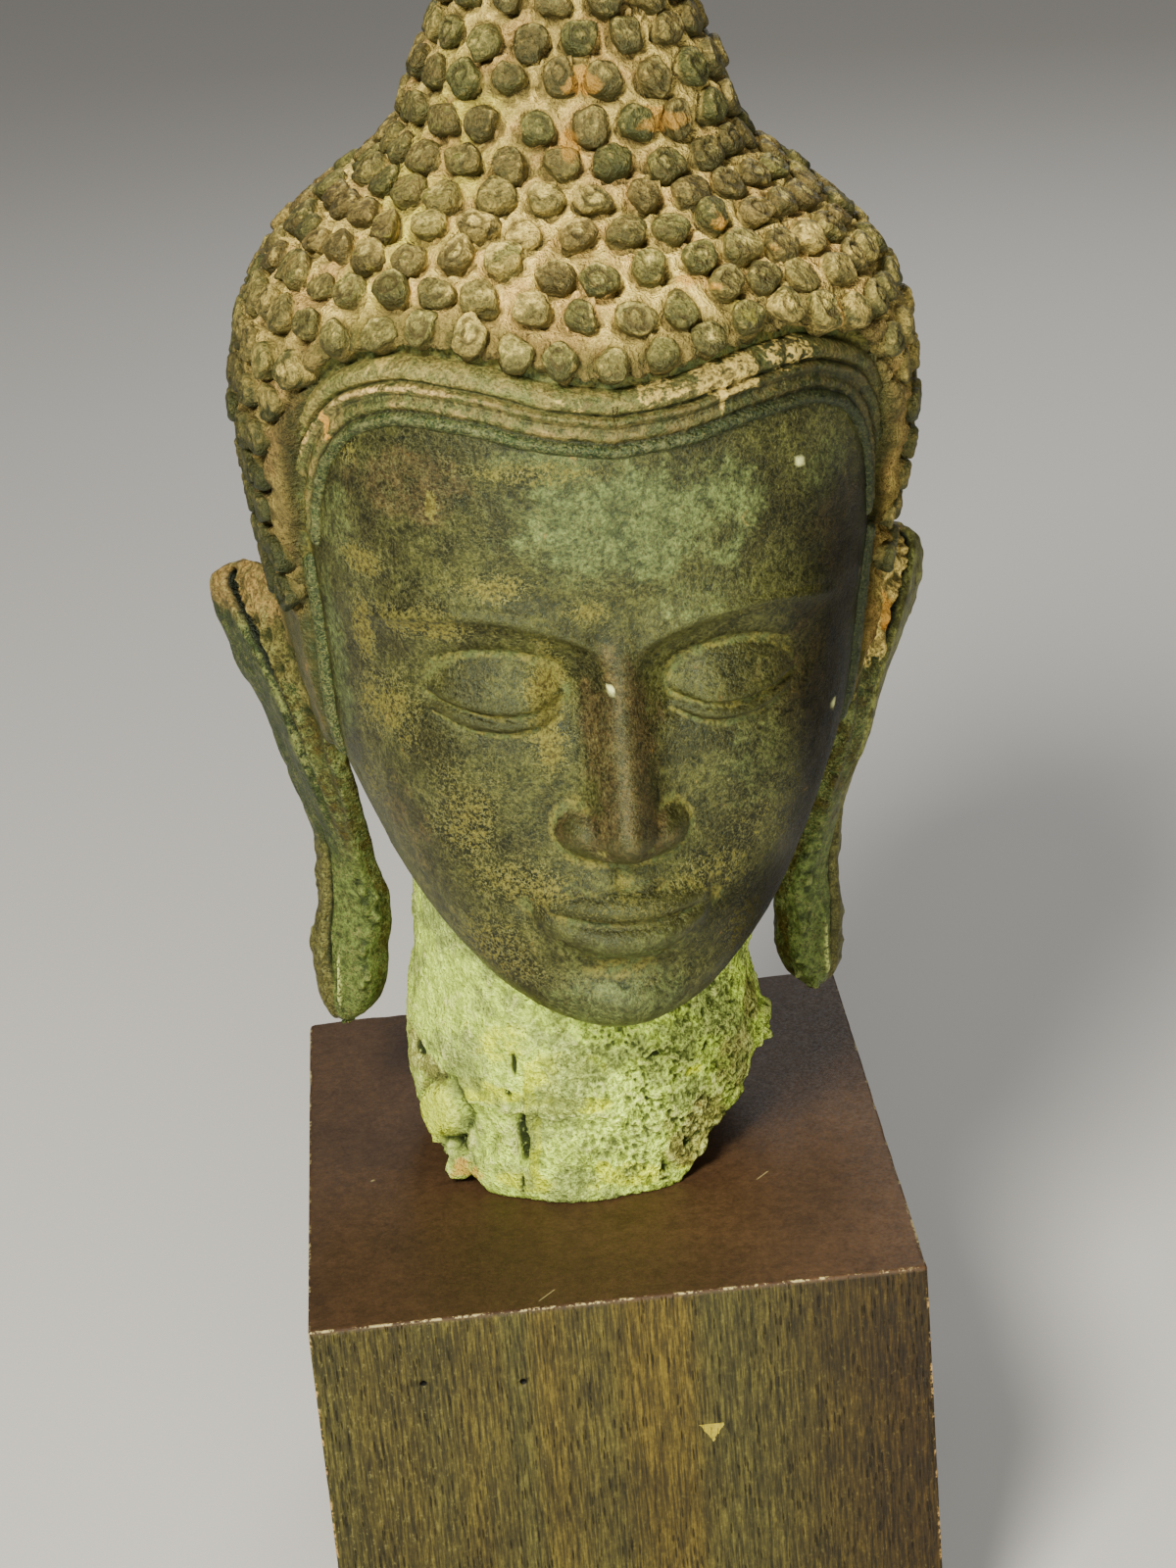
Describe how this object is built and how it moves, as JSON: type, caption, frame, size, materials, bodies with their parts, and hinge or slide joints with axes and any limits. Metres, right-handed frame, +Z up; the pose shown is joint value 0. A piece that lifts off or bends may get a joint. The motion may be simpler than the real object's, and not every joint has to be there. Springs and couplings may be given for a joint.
{
  "type": "bronze head sculpture",
  "caption": "Cast bronze head with rows of small hair curls, lowered eyes and long ears, broken off at the neck and standing on a square dark wood block.",
  "frame": {"origin": "middle of the wood block's underside, which stands on the table", "axes": "+Z up along the object's height, the face looks along -Y, +X to the viewer's right"},
  "size_m": [0.1844, 0.1892, 0.4597],
  "materials": {
    "patinated_bronze": "dark green-brown patina, semi-gloss on the face, earthy between the curls, pale green and rough on the neck",
    "stained_wood": "dark brown stain, satin, with open pores and worn edges"
  },
  "bodies": {
    "root": {"bronze_head": "patinated_bronze", "wood_block_base": "stained_wood"}
  },
  "joints": []
}
